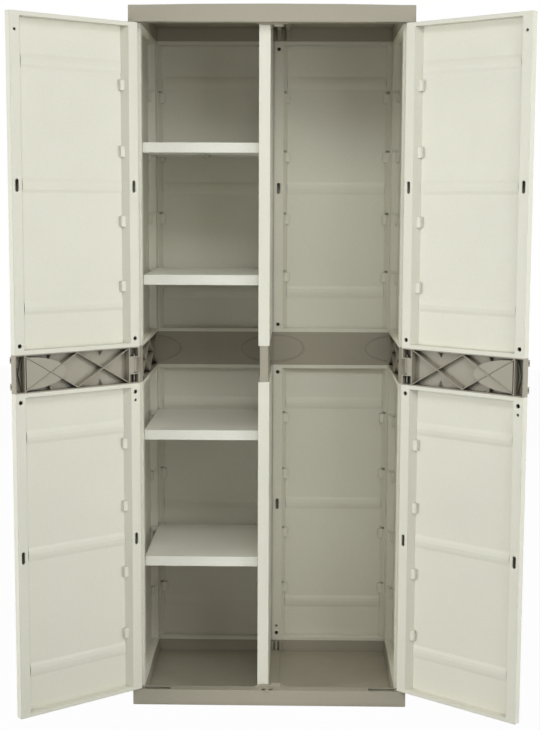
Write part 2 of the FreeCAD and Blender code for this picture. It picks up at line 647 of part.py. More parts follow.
def panel_plugs(body, offset, backwards):
    """Plugs on the base or the cap that enter the frames of the side and rear panels."""
    sketch = new_sketch(body, "plug_section", "XY_Plane", offset)
    gap = "dim.plug_gap"
    near = "dim.channel_wall+%s" % gap
    far = "dim.strip-dim.channel_wall-%s" % gap
    deep = "dim.board-dim.channel_wall-%s" % gap
    front = "dim.board+dim.door_back_gap"
    back = "dim.cab_depth-dim.rear_inset-dim.board"
    outside = "dim.cab_depth-dim.rear_inset"
    for along, step in ((front, "+"), (back, "-")):
        low = "%s%s(%s)" % (along, step, near if step == "+" else far)
        high = "%s%s(%s)" % (along, step, far if step == "+" else near)
        rectangle(sketch, "dim.side_inset+%s" % near, low, "dim.side_inset+%s" % deep, high)
        rectangle(sketch, "dim.cab_width-dim.side_inset-(%s)" % deep, low,
                  "dim.cab_width-dim.side_inset-(%s)" % near, high)
    low = "%s-(%s)" % (outside, deep)
    high = "%s-(%s)" % (outside, near)
    seam = "dim.door_centre_gap/4"
    seam_left = "dim.cab_width/2-%s" % seam
    seam_right = "dim.cab_width/2+%s" % seam
    right_edge = "dim.cab_width-dim.side_inset"
    rectangle(sketch, "dim.side_inset+%s" % near, low, "dim.side_inset+%s" % far, high)
    rectangle(sketch, "%s-(%s)" % (seam_left, far), low, "%s-(%s)" % (seam_left, near), high)
    rectangle(sketch, "%s+%s" % (seam_right, near), low, "%s+%s" % (seam_right, far), high)
    rectangle(sketch, "%s-(%s)" % (right_edge, far), low, "%s-(%s)" % (right_edge, near), high)
    pad(body, sketch, "dim.plug_tall", backwards)


def divider_reach():
    """Front and rear edge of the divider, just clear of the trays' leaning walls."""
    clear = "(dim.tray_tall*tan(dim.draft)+dim.seat_gap)"
    return "(dim.ledge+%s)" % clear, "(dim.cab_depth-dim.rear_inset-dim.board-%s)" % clear


def divider_plugs(body, offset, backwards):
    """Plugs that enter the frames of the divider's panel."""
    sketch = new_sketch(body, "divider_plug_section", "XY_Plane", offset)
    gap = "dim.plug_gap"
    right_face = "dim.cab_width/2-dim.divider_right"
    left = "%s-dim.divider_board+dim.channel_wall+%s" % (right_face, gap)
    right = "%s-dim.channel_wall-%s" % (right_face, gap)
    front, back = divider_reach()
    near = "dim.channel_wall+%s" % gap
    far = "dim.strip-dim.channel_wall-%s" % gap
    rectangle(sketch, left, "%s+%s" % (front, near), right, "%s+%s" % (front, far))
    rectangle(sketch, left, "%s-(%s)" % (back, far), right, "%s-(%s)" % (back, near))
    pad(body, sketch, "dim.plug_tall", backwards)


def ledge_slots(body, offset, depth, backwards):
    sketch = new_sketch(body, "slot_outline", "XY_Plane", offset)
    near = "dim.slot_start"
    far = "dim.slot_start+dim.slot_wide"
    high = "dim.slot_front+dim.slot_deep"
    rectangle(sketch, near, "dim.slot_front", far, high)
    rectangle(sketch, "dim.cab_width-(%s)" % far, "dim.slot_front", "dim.cab_width-%s" % near, high)
    pocket(body, sketch, depth, backwards)


def pivot_holes(body, offset, backwards):
    sketch = new_sketch(body, "pivot_holes", "XY_Plane", offset)
    for x in ("dim.hinge_inset", "dim.cab_width-dim.hinge_inset"):
        circle(sketch, (x, "dim.hinge_inset"), "dim.pivot_radius+dim.pin_gap")
    pocket(body, sketch, "dim.pivot_long+dim.pivot_spare", backwards)


STOP_SHOULDER, STOP_CREST = 0.39, 0.2
SHOULDER_RISE, CATCH_FOOT = 0.6, 0.7


def door_stop(body, level, step, rise):
    """Middle door stop that swells towards its middle, with a catch beside the divider."""
    sketch = new_sketch(body, "stop_outline", "XZ_Plane", "-(dim.ledge+dim.stop_past-dim.stop_deep)")
    middle = "dim.cab_width/2"
    end = "dim.stop_wide/2"
    shoulder, crest = "dim.stop_wide*%.2f" % STOP_SHOULDER, "dim.stop_wide*%.2f" % STOP_CREST
    part_way, catch_top = "%s*%.2f" % (rise, SHOULDER_RISE), "(%s+dim.catch_rise)" % rise
    profile = (("-" + end, "(-dim.bury)"), ("-" + end, "0"), ("-" + shoulder, part_way),
               ("-" + crest, rise), ("+dim.catch_left", rise), ("+dim.catch_left", catch_top),
               ("+dim.catch_right", catch_top), ("+dim.catch_right", "%s*%.2f" % (rise, CATCH_FOOT)),
               ("+" + shoulder, part_way), ("+" + end, "0"), ("+" + end, "(-dim.bury)"))
    polygon(sketch, [(middle + x, level + step + y) for x, y in profile])
    pad(body, sketch, "dim.stop_deep", True)


def flutes(body, low, high, start, end, count, gap):
    """Upright ribs beside the divider, on the inner rear wall."""
    back = "dim.cab_depth-dim.rear_inset-dim.board"
    sketch = new_sketch(body, "flute_outline", "XZ_Plane", "-(%s-dim.flute_deep)" % back)
    row_of_cells(sketch, "dim.cab_width/2%s" % start, low, "dim.cab_width/2+%s" % end, high, count, gap)
    pad(body, sketch, "dim.flute_deep+dim.bury", True)


def keeper(body):
    """Small keeper that laps over the front ledge, with a nick on each side of it."""
    left = "dim.cab_width/2-dim.keeper_left"
    right = "%s+dim.keeper_wide" % left
    bump = new_sketch(body, "keeper_outline", "XY_Plane", "dim.tray_tall-dim.lip_drop")
    rectangle(bump, left, "(-dim.lip_out)", right, "dim.keeper_deep")
    pad(body, bump, "dim.keeper_rise+dim.lip_drop")
    nicks = new_sketch(body, "nick_outline", "XY_Plane", "dim.tray_tall")
    back = "dim.nick_front+dim.nick_deep"
    rectangle(nicks, "%s-dim.nick_wide" % left, "dim.nick_front", left, back)
    rectangle(nicks, right, "dim.nick_front", "%s+dim.nick_wide" % right, back)
    pocket(body, nicks, "dim.wall+dim.bury")


def make_base(label):
    """Base tray: ledge all round, sunk floor, ribbed underside."""
    body = slab(label, "dim.cab_width", "dim.cab_depth", "dim.tray_tall")
    for x in ("0", "dim.cab_width"):
        round_upright(body, x, "0", "dim.corner_radius")
    left, front, right, back = tray_edges()
    tray = new_sketch(body, "tray_outline", "XY_Plane", "dim.tray_tall")
    rectangle(tray, left, front, right, back)
    pocket(body, tray, "dim.tray_tall-dim.floor_top", False, "-dim.draft")

    # Hollow edge, open below, with cross ribs.
    lean = "(dim.tray_tall-dim.floor_top)*tan(dim.draft)"
    ring = new_sketch(body, "ring_cells", "XY_Plane")
    row_of_cells(ring, left, "dim.wall", right, "%s-dim.wall" % front, 5, "dim.web")
    row_of_cells(ring, left, "%s+dim.wall" % back, right, "dim.cab_depth-dim.wall", 4, "dim.web")
    column_of_cells(ring, "dim.wall", front, "%s-dim.wall" % left, back, 3, "dim.web")
    column_of_cells(ring, "%s+dim.wall" % right, front, "dim.cab_width-dim.wall", back, 3, "dim.web")
    pocket(body, ring, "dim.tray_tall-dim.wall", True)

    # Shallow cells under the floor leave a grid of ribs to stand on.
    grid = new_sketch(body, "floor_cells", "XY_Plane")
    rows = 2
    span = "(%s-%s+dim.web)/%d" % (back, front, rows)
    for row in range(rows):
        low = "%s+%d*%s" % (front, row, span)
        row_of_cells(grid, "%s+%s" % (left, lean), low, "%s-%s" % (right, lean),
                     "%s+%s-dim.web" % (low, span), 4, "dim.web")
    pocket(body, grid, "dim.floor_top-dim.wall", True)

    track = new_sketch(body, "track_outline", "XY_Plane", "dim.floor_top-dim.bury")
    rectangle(track, "dim.cab_width/2-dim.plinth_left", "%s-dim.bury" % front,
              "dim.cab_width/2+dim.plinth_right", "%s+dim.bury" % back)
    pad(body, track, "dim.plinth_rise+dim.bury")
    door_stop(body, "dim.tray_tall", "+", "dim.stop_rise")
    keeper(body)
    flutes(body, "dim.floor_top", "dim.tray_tall-dim.flute_drop", "-dim.flute_start", "dim.flute_reach",
           3, "dim.flute_gap")
    ledge_slots(body, "dim.tray_tall", "dim.wall+dim.bury", False)
    pivot_holes(body, "dim.tray_tall", False)
    panel_plugs(body, "dim.tray_tall", False)
    divider_plugs(body, "dim.floor_top+dim.plinth_rise", False)
    return body


def make_cap(label):
    """Cap: the tray turned over under a slightly crowned roof."""
    body = slab(label, "dim.cab_width", "dim.cab_depth", "dim.tray_tall")
    for x in ("0", "dim.cab_width"):
        round_upright(body, x, "0", "dim.corner_radius")
    crown = new_sketch(body, "crown_profile", "XZ_Plane")
    root = "dim.tray_tall-dim.bury"
    knee = "dim.tray_tall+dim.knee_rise"
    polygon(crown, [("dim.crown_start", root), ("dim.cab_width-dim.crown_start", root),
                    ("dim.cab_width-dim.crown_start", "dim.tray_tall"),
                    ("dim.cab_width-dim.crown_knee", knee),
                    ("dim.cab_width/2", "dim.tray_tall+dim.crown"),
                    ("dim.crown_knee", knee), ("dim.crown_start", "dim.tray_tall")])
    pad(body, crown, "dim.cab_depth", True)
    left, front, right, back = tray_edges()
    ceiling = "dim.tray_tall-dim.roof_wall"
    tray = new_sketch(body, "tray_outline", "XY_Plane")
    rectangle(tray, left, front, right, back)
    pocket(body, tray, ceiling, True, "-dim.draft")

    # The front edge is hollow towards the inside, the side and rear edges towards the panels.
    beam = new_sketch(body, "beam_cells", "XZ_Plane", "-(%s+dim.wall)" % front)
    row_of_cells(beam, "%s+dim.wall" % left, "dim.wall", "%s-dim.wall" % right, "%s-dim.wall" % ceiling,
                 5, "dim.web")
    pocket(body, beam, front, True)
    ring = new_sketch(body, "ring_cells", "XY_Plane")
    clear = "dim.strip+dim.web"
    column_of_cells(ring, "dim.side_inset+dim.wall", "%s+%s" % (front, clear), "%s-dim.wall" % left,
                    "%s-(%s)" % (back, clear), 3, "dim.web")
    column_of_cells(ring, "%s+dim.wall" % right, "%s+%s" % (front, clear),
                    "dim.cab_width-dim.side_inset-dim.wall", "%s-(%s)" % (back, clear), 3, "dim.web")
    for start, end in (("%s+dim.wall" % left, "dim.cab_width/2-(%s)" % clear),
                       ("dim.cab_width/2+%s" % clear, "%s-dim.wall" % right)):
        row_of_cells(ring, start, "%s+dim.wall" % back, end, "dim.cab_depth-dim.rear_inset-dim.wall",
                     2, "dim.web")
    pocket(body, ring, "%s-dim.wall" % ceiling, True)

    door_stop(body, "0", "-", "dim.cap_stop_rise")
    flutes(body, "dim.flute_drop", ceiling, "+dim.beam_start", "dim.beam_reach", 2, "dim.beam_gap")
    beams = new_sketch(body, "beam_outline", "XY_Plane", "%s-dim.beam_drop" % ceiling)
    row_of_cells(beams, "dim.cab_width/2+dim.beam_start", front, "dim.cab_width/2+dim.beam_reach", back,
                 2, "dim.beam_gap")
    pad(body, beams, "dim.beam_drop+dim.bury")
    ledge_slots(body, None, "dim.wall+dim.bury", True)
    pivot_holes(body, None, True)
    panel_plugs(body, None, True)
    divider_plugs(body, ceiling, True)
    return body


def make_shelf(label, wide, deep):
    """Shelf: top plate, skirts and cross ribs, with ears that rest on the clips."""
    body = slab(label, wide, deep, "dim.shelf_thick")
    cells = new_sketch(body, "cell_outline", "XY_Plane")
    for row in range(2):
        span = "(%s-2*dim.wall+dim.web)/2" % deep
        low = "dim.wall+%d*%s" % (row, span)
        high = "%s+%s-dim.web" % (low, span)
        row_of_cells(cells, "dim.wall", low, "%s-dim.wall" % wide, high, 2, "dim.web")
    pocket(body, cells, "dim.shelf_thick-dim.shelf_plate", True)
    ears = new_sketch(body, "ear_outline", "XY_Plane", "dim.shelf_thick-dim.ear_thick")
    front_clip = "dim.board+dim.door_back_gap+dim.strip+dim.clip_wide-dim.shelf_front-dim.seat_gap"
    deep_reach = "dim.board-dim.skin-dim.ear_gap+dim.seat_gap"
    thin_reach = "(dim.divider_board-dim.skin)/2-dim.ear_gap+dim.seat_gap"
    inner_plane = "dim.cab_depth-dim.rear_inset-dim.board"
    rear_clip = "%s-dim.strip-dim.clip_wide-dim.shelf_front+dim.seat_gap" % inner_plane
    divider_front, divider_back = divider_reach()
    front_shift = "(%s-dim.board-dim.door_back_gap)" % divider_front
    rear_shift = "(%s-(%s))" % (divider_back, inner_plane)
    for low, high, shift in (("%s-dim.shelf_ear" % front_clip, front_clip, front_shift),
                             (rear_clip, "%s+dim.shelf_ear" % rear_clip, rear_shift)):
        rectangle(ears, "-(%s)" % deep_reach, low, "dim.bury", high)
        rectangle(ears, "%s-dim.bury" % wide, "%s+%s" % (low, shift), "%s+%s" % (wide, thin_reach),
                  "%s+%s" % (high, shift))
    pad(body, ears, "dim.ear_thick")
    return body


# ---------------------------------------------------------------- hinge pieces

def end_pivot(label, points_up):
    """Plug for a door frame's hollow, with a collar and a pivot that stand out of the door's end."""
    body = new_body(label)
    section = new_sketch(body, "plug_section", "XY_Plane")
    rectangle(section, *channels("2*dim.strip", "dim.board", "dim.plug_gap")[0])
    pad(body, section, "2*dim.plug_tall", points_up)
    axis = ("dim.hinge_inset", "dim.hinge_inset")
    collar_tall = "dim.door_end_gap-dim.seat_gap"
    collar = new_sketch(body, "collar_plan", "XY_Plane")
    rectangle(collar, "dim.collar_edge", "dim.collar_edge", "dim.strip-dim.collar_edge",
              "dim.board-dim.collar_edge")
    pad(body, collar, collar_tall, not points_up)
    pivot = new_sketch(body, "pivot_plan", "XY_Plane", "%d*(%s)" % (1 if points_up else -1, collar_tall))
    circle(pivot, axis, "dim.pivot_radius")
    pad(body, pivot, "dim.pivot_long", not points_up)
    return body


def middle_pin(label):
    body = new_body(label)
    plan = new_sketch(body, "pin_plan", "XY_Plane")
    circle(plan, ("dim.hinge_inset", "dim.hinge_inset"), "dim.pin_radius")
    pad(body, plan, "dim.band_tall/2+dim.knuckle_tall/2+2*dim.wall+dim.notch_gap")
    return body


# ---------------------------------------------------------------- placing

def place(piece, x, y, z, turn=0):
    """Put a piece at x, y, z, turned about the upright axis, all given as expressions."""
    piece.setExpression("Placement.Base.x", x)
    piece.setExpression("Placement.Base.y", y)
    piece.setExpression("Placement.Base.z", z)
    position = FreeCAD.Vector(amount(x), amount(y), amount(z))
    up = FreeCAD.Vector(0, 0, 1)
    piece.Placement = FreeCAD.Placement(position, FreeCAD.Rotation(up, turn))


def hang(piece, side, axis_x, z):
    """Hang a door piece: its own axis point goes to the hinge axis, turned open."""
    turn = "%d*dim.door_open" % side
    hinge_x = "%d*(dim.cab_width/2-dim.hinge_inset)" % side
    hinge_y = "-(dim.cab_depth/2-dim.hinge_inset)"
    x = "%s-(%s)*cos(%s)+dim.hinge_inset*sin(%s)" % (hinge_x, axis_x, turn, turn)
    y = "%s-(%s)*sin(%s)-dim.hinge_inset*cos(%s)" % (hinge_y, axis_x, turn, turn)
    place(piece, x, y, z, amount(turn))
    piece.setExpression("Placement.Rotation.Angle", turn)


def mirrored(label, source):
    """Right-hand piece, the mirror image of a left-hand one."""
    piece = doc.addObject("Part::Mirroring", label)
    piece.Label = label
    piece.Source = source
    piece.Normal = (1, 0, 0)
    piece.Base = (0, 0, 0)
    pieces.append(piece)
    return piece


QUARTER_TURN = 90
pieces = []
band_low = "(dim.tray_tall+dim.panel_tall)"
upper_low = "(dim.tray_tall+dim.panel_tall+dim.band_tall)"
cap_low = "(dim.tray_tall+2*dim.panel_tall+dim.band_tall)"
door_low = "(dim.tray_tall+dim.door_end_gap)"
door_tall = "(dim.panel_tall-dim.door_end_gap)"
door_wide = "(dim.cab_width/2-dim.door_centre_gap)"
seam_gap = "dim.door_centre_gap/4"
rear_wide = "(dim.cab_width/2-dim.side_inset-%s)" % seam_gap
rear_face = "(dim.cab_depth/2-dim.rear_inset)"
inner_rear = "(%s-dim.board)" % rear_face
side_wide = "(dim.cab_depth-dim.rear_inset-2*dim.board-dim.door_back_gap)"
divider_front, divider_back = divider_reach()
divider_wide = "(%s-%s)" % (divider_back, divider_front)
side_face = "(dim.cab_width/2-dim.side_inset)"

base = make_base("base")
place(base, "-dim.cab_width/2", "-dim.cab_depth/2", "0")
cap = make_cap("top_cap")
place(cap, "-dim.cab_width/2", "-dim.cab_depth/2", cap_low)

FIRST = ("dim.eye_end", "dim.eye_radius")
SECOND = ("dim.eye_second", "dim.pip_radius")

upper_rear_eyes = [(HIGH_SIDE, BOTTOM, FIRST), (HIGH_SIDE, TOP, FIRST)]
lower_rear_eyes = upper_rear_eyes + [(HIGH_SIDE, BOTTOM, SECOND)]
for level, low, rear_eyes in (("lower", "dim.tray_tall", lower_rear_eyes),
                              ("upper", upper_low, upper_rear_eyes)):
    for side, name in ((-1, "left"), (1, "right")):
        side_wall = wall_panel("%s_side_panel_%s" % (name, level), side_wide, BOTH_SIDES, [])
        start = inner_rear if side < 0 else "%s-(%s)" % (inner_rear, side_wide)
        place(side_wall, "%d*(%s)" % (side, side_face), start, low, side * QUARTER_TURN)
    left_rear = wall_panel("rear_left_panel_%s" % level, rear_wide, (LOW_SIDE,), [])
    place(left_rear, "-%s" % seam_gap, rear_face, low, 2 * QUARTER_TURN)
    right_rear = wall_panel("rear_right_panel_%s" % level, rear_wide, (HIGH_SIDE,), rear_eyes)
    place(right_rear, side_face, rear_face, low, 2 * QUARTER_TURN)

left_band = side_band("left_side_band", side_wide)
place(left_band, "-(%s)" % side_face, inner_rear, band_low, -QUARTER_TURN)
mirrored("right_side_band", left_band)
for name, x in (("left", "-%s" % seam_gap), ("right", side_face)):
    place(rear_band("rear_%s_band" % name, rear_wide), x, rear_face, band_low, 2 * QUARTER_TURN)

# The divider stands on the base's track and reaches the cap's ceiling.
divider_left = "-(dim.divider_right+dim.divider_board)"
divider_low = "(dim.floor_top+dim.plinth_rise)"
divider_lower_tall = "(%s-%s)" % (band_low, divider_low)
divider_upper_tall = "(%s+dim.tray_tall-dim.roof_wall-%s)" % (cap_low, upper_low)
divider_rear = "(%s-dim.cab_depth/2)" % divider_back
lower_level = "(dim.tray_tall+dim.panel_tall/2-%s)" % divider_low
lower_divider = divider_panel("divider_panel_lower", divider_wide, divider_lower_tall, lower_level)
place(lower_divider, divider_left, divider_rear, divider_low, -QUARTER_TURN)
upper_divider = divider_panel("divider_panel_upper", divider_wide, divider_upper_tall, "dim.panel_tall/2")
place(upper_divider, divider_left, divider_rear, upper_low, -QUARTER_TURN)
middle_divider = divider_band("divider_band", divider_wide)
place(middle_divider, "%s+(dim.divider_board-dim.divider_band_board)/2" % divider_left,
      divider_rear, band_low, -QUARTER_TURN)

# Shelves hang by their ears on the clips of the left side wall and the divider.
shelf_wide = "(%s-dim.board-dim.divider_right-dim.divider_board-2*dim.seat_gap)" % side_face
shelf_deep = "(dim.cab_depth-dim.rear_inset-dim.board-dim.shelf_front-dim.seat_gap)"
lower_middle = "(dim.tray_tall+dim.panel_tall/2)"
upper_middle = "(%s+dim.panel_tall/2)" % upper_low
clip_top = "(dim.clip_tall/2-dim.shelf_thick+dim.ear_thick)"
clip_levels = ((upper_middle, "+dim.clip_near"), (upper_middle, "-dim.clip_far"),
               (lower_middle, "+dim.clip_far"), (lower_middle, "-dim.clip_near"))
for number, (middle, step) in enumerate(clip_levels, start=1):
    shelf = make_shelf("shelf_%d" % number, shelf_wide, shelf_deep)
    place(shelf, "-(%s-dim.board)+dim.seat_gap" % side_face, "-dim.cab_depth/2+dim.shelf_front",
          "%s%s+%s+dim.seat_gap" % (middle, step, clip_top))

for side, name in ((-1, "left"), (1, "right")):
    axis = "dim.hinge_inset" if side < 0 else "%s-dim.hinge_inset" % door_wide
    hinge_side, free_side = (LOW_SIDE, HIGH_SIDE) if side < 0 else (HIGH_SIDE, LOW_SIDE)
    lower_eyes = [(LOW_SIDE, TOP, FIRST), (HIGH_SIDE, TOP, FIRST), (LOW_SIDE, TOP, SECOND)]
    upper_eyes = [(LOW_SIDE, BOTTOM, FIRST), (HIGH_SIDE, BOTTOM, FIRST), (free_side, TOP, SECOND)]
    for level, low, eyes, outer_end in (("lower", door_low, lower_eyes, BOTTOM),
                                        ("upper", upper_low, upper_eyes, TOP)):
        leaf = door_panel("%s_door_panel_%s" % (name, level), door_wide, door_tall, eyes,
                          hinge_side, outer_end)
        hang(leaf, side, axis, low)

left_door_band = door_band("left_door_band", door_wide)
hang(left_door_band, -1, "dim.hinge_inset", band_low)
mirrored("right_door_band", left_door_band)
for level, points_up, z in (("lower", False, door_low), ("upper", True, "%s-dim.door_end_gap" % cap_low)):
    pivot = end_pivot("left_door_pivot_%s" % level, points_up)
    hang(pivot, -1, "dim.hinge_inset", z)
    mirrored("right_door_pivot_%s" % level, pivot)
hinge_pin = middle_pin("left_hinge_pin")
hang(hinge_pin, -1, "dim.hinge_inset", "%s+dim.wall+dim.seat_gap" % band_low)
mirrored("right_hinge_pin", hinge_pin)
doc.recompute()

# ---------------------------------------------------------------- test and write

for item in doc.Objects:
    if "Invalid" in item.State or "Error" in item.State:
        raise RuntimeError("%s (%s) failed: %s" % (item.Name, item.Label, item.State))
for piece in pieces:
    if piece.Shape.isNull() or not piece.Shape.isValid() or len(piece.Shape.Solids) != 1:
        raise RuntimeError("%s has no valid single solid" % piece.Label)
for piece in pieces:
    piece.Shape.exportStep("parts/%s.step" % piece.Label)
print("%d pieces written" % len(pieces))
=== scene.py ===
"""Looks of the tall resin utility cabinet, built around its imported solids, in metres.

Doors, walls, divider and shelves are ivory resin; base, cap and bands are taupe resin.
"""
import json
import math

import bmesh
import bpy
from mathutils import Matrix, Vector


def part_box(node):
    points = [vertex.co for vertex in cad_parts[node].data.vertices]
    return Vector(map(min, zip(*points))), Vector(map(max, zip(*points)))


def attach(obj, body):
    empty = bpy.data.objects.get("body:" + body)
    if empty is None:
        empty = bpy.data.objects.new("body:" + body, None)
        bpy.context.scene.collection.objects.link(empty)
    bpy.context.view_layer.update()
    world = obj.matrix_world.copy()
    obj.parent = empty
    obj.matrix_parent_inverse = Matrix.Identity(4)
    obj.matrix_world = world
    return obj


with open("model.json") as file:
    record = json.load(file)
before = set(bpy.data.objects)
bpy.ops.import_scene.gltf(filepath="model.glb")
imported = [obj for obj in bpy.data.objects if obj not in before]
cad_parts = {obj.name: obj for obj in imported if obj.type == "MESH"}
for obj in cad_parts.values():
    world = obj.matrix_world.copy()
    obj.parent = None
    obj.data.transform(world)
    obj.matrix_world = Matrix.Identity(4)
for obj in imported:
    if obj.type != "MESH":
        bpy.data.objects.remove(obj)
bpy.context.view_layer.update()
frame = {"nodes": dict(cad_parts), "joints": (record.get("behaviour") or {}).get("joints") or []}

# ---------------------------------------------------------------- studio
# A pale floor under a white surround. A far lamp above the front and a near one give the
# main light, tall ones fill from both sides and from the near right, a small one stands low
# on the left, and one lights the back.

scene = bpy.context.scene
scene.view_settings.view_transform = "Standard"


def new_nodes(tree):
    """Empty a node tree and return short ways to add a node and a link."""
    tree.nodes.clear()

    def add(kind, **values):
        node = tree.nodes.new(kind)
        for name, value in values.items():
            if name in node.inputs:
                node.inputs[name].default_value = value
            else:
                setattr(node, name, value)
        return node

    return add, tree.links.new


def seen_directly(add, link):
    """1 for rays from the camera, mirrors and glass, 0 for light on a surface."""
    path = add("ShaderNodeLightPath")
    mirrored = add("ShaderNodeMath", operation="MAXIMUM")
    link(path.outputs["Is Camera Ray"], mirrored.inputs[0])
    link(path.outputs["Is Glossy Ray"], mirrored.inputs[1])
    either = add("ShaderNodeMath", operation="MAXIMUM")
    link(mirrored.outputs[0], either.inputs[0])
    link(path.outputs["Is Transmission Ray"], either.inputs[1])
    return either.outputs[0]


def piece_from(shape, name, material):
    """Turn a finished bmesh into an object of the scene with one material."""
    mesh = bpy.data.meshes.new(name)
    shape.to_mesh(mesh)
    shape.free()
    mesh.materials.append(material)
    piece = bpy.data.objects.new(name, mesh)
    scene.collection.objects.link(piece)
    return piece


plain_white = (1, 1, 1, 1)
surround_light, surround_glow = 0.10, 1.0
world = bpy.data.worlds.new("white_surround")
world.use_nodes = True
scene.world = world
add, link = new_nodes(world.node_tree)
lit = add("ShaderNodeBackground", Color=plain_white, Strength=surround_light)
bright = add("ShaderNodeBackground", Color=plain_white, Strength=surround_glow)
choose = add("ShaderNodeMixShader")
link(seen_directly(add, link), choose.inputs[0])
link(lit.outputs[0], choose.inputs[1])
link(bright.outputs[0], choose.inputs[2])
link(choose.outputs[0], add("ShaderNodeOutputWorld").inputs["Surface"])

floor_size = 14.0
floor_grey, floor_glow, glow_share = (0.5, 0.5, 0.5, 1), 1.0, 0.975
floor_white = bpy.data.materials.new("floor_white")
floor_white.use_nodes = True
add, link = new_nodes(floor_white.node_tree)
paint = add("ShaderNodeBsdfDiffuse", Color=floor_grey)
glow = add("ShaderNodeEmission", Color=plain_white, Strength=floor_glow)
share = add("ShaderNodeMath", operation="MULTIPLY")
share.inputs[1].default_value = glow_share
link(seen_directly(add, link), share.inputs[0])
blend = add("ShaderNodeMixShader")
link(share.outputs[0], blend.inputs[0])
link(paint.outputs[0], blend.inputs[1])
link(glow.outputs[0], blend.inputs[2])
link(blend.outputs[0], add("ShaderNodeOutputMaterial").inputs["Surface"])
shape = bmesh.new()
bmesh.ops.create_grid(shape, x_segments=1, y_segments=1, size=floor_size / 2)
floor = piece_from(shape, "floor", floor_white)

lamp_tint = (0.98, 1.0, 0.985)


def softbox(name, place, target, wide, tall, power):
    """Rectangular lamp at place that faces target."""
    lamp = bpy.data.lights.new(name, "AREA")
    lamp.shape = "RECTANGLE"
    lamp.size, lamp.size_y, lamp.energy = wide, tall, power
    lamp.color = lamp_tint
    holder = bpy.data.objects.new(name, lamp)
    direction = Vector(target) - Vector(place)
    turn = direction.to_track_quat("-Z", "Y").to_matrix().to_4x4()
    holder.matrix_world = Matrix.Translation(Vector(place)) @ turn
    scene.collection.objects.link(holder)


softbox("high_lamp", (0.0, -4.5, 4.5), target=(0, 0, 0.9), wide=2.0, tall=1.5, power=60)
softbox("front_lamp", (0.0, -2.2, 2.8), target=(0, 0, 0.95), wide=1.8, tall=1.2, power=6)
softbox("left_lamp", (-3.0, -1.8, 1.2), target=(0, -0.3, 0.8), wide=1.0, tall=2.2, power=54)
softbox("right_lamp", (3.0, -1.8, 1.2), target=(0, -0.3, 0.8), wide=1.0, tall=2.2, power=45)
softbox("near_lamp", (1.5, -2.6, 1.9), target=(0, 0, 0.9), wide=1.2, tall=2.2, power=18.5)
softbox("low_lamp", (-1.9, -2.6, 0.5), target=(0, 0, 0.7), wide=1.2, tall=0.8, power=6.5)
softbox("rear_lamp", (0.0, 3.2, 2.2), target=(0, 0, 0.9), wide=2.4, tall=1.8, power=60)

camera_place = (0.0589, -3.6451, 1.2865)
camera_yaw, camera_tilt, camera_roll = 1.0, 6.74, 0.228
view = bpy.data.cameras.new("camera")
view.sensor_width = 36.0
view.lens = 68.15
camera = bpy.data.objects.new("camera", view)
camera.matrix_world = (Matrix.Translation(Vector(camera_place))
                       @ Matrix.Rotation(math.radians(camera_yaw), 4, "Z")
                       @ Matrix.Rotation(math.radians(90 - camera_tilt), 4, "X")
                       @ Matrix.Rotation(math.radians(camera_roll), 4, "Z"))
scene.collection.objects.link(camera)
scene.camera = camera

# ---------------------------------------------------------------- ivory walls, doors and divider
# Large hollow panels injection-moulded in polypropylene, coloured through, with a fine
# spark-eroded grain and the slightly wavy wall that thin resin gets as it cools.


def noise(add, link, place, **values):
    """Cloudy noise over the given coordinates, as a value."""
    texture = add("ShaderNodeTexNoise", **values)
    link(place, texture.inputs["Vector"])
    return texture.outputs["Fac"]


def remap(add, link, value, source, result):
    """Carry a value over from the range source to the range result."""
    node = add("ShaderNodeMapRange")
    for name, bound in zip(("From Min", "From Max", "To Min", "To Max"), source + result):
        node.inputs[name].default_value = bound
    link(value, node.inputs["Value"])
    return node.outputs["Result"]


def mixed(add, link, factor, first, second, blend_type="MIX"):
    """Mix two colours; each argument is a plain value or another node's output."""
    node = add("ShaderNodeMix", data_type="RGBA", blend_type=blend_type)
    for name, source in (("Factor", factor), ("A", first), ("B", second)):
        if isinstance(source, bpy.types.NodeSocket):
            link(source, node.inputs[name])
        else:
            node.inputs[name].default_value = source
    return node.outputs["Result"]


def painted_hollow_shade(add, link, colour, reach, open_share, depth):
    """Paint shade into a colour in slots, eyes and creases: darker where little open air is near.
    """
    closed_share = 0.02
    open_air = add("ShaderNodeAmbientOcclusion", samples=4, Distance=reach).outputs["AO"]
    fade = remap(add, link, open_air, (closed_share, open_share), (depth, 1.0))
    return mixed(add, link, 1.0, colour, fade, "MULTIPLY")


def bumped(add, link, height, normal, distance):
    """Raise the surface by a height value, on top of the normal given."""
    bump = add("ShaderNodeBump", Strength=1.0, Distance=distance)
    link(height, bump.inputs["Height"])
    link(normal, bump.inputs["Normal"])
    return bump.outputs["Normal"]


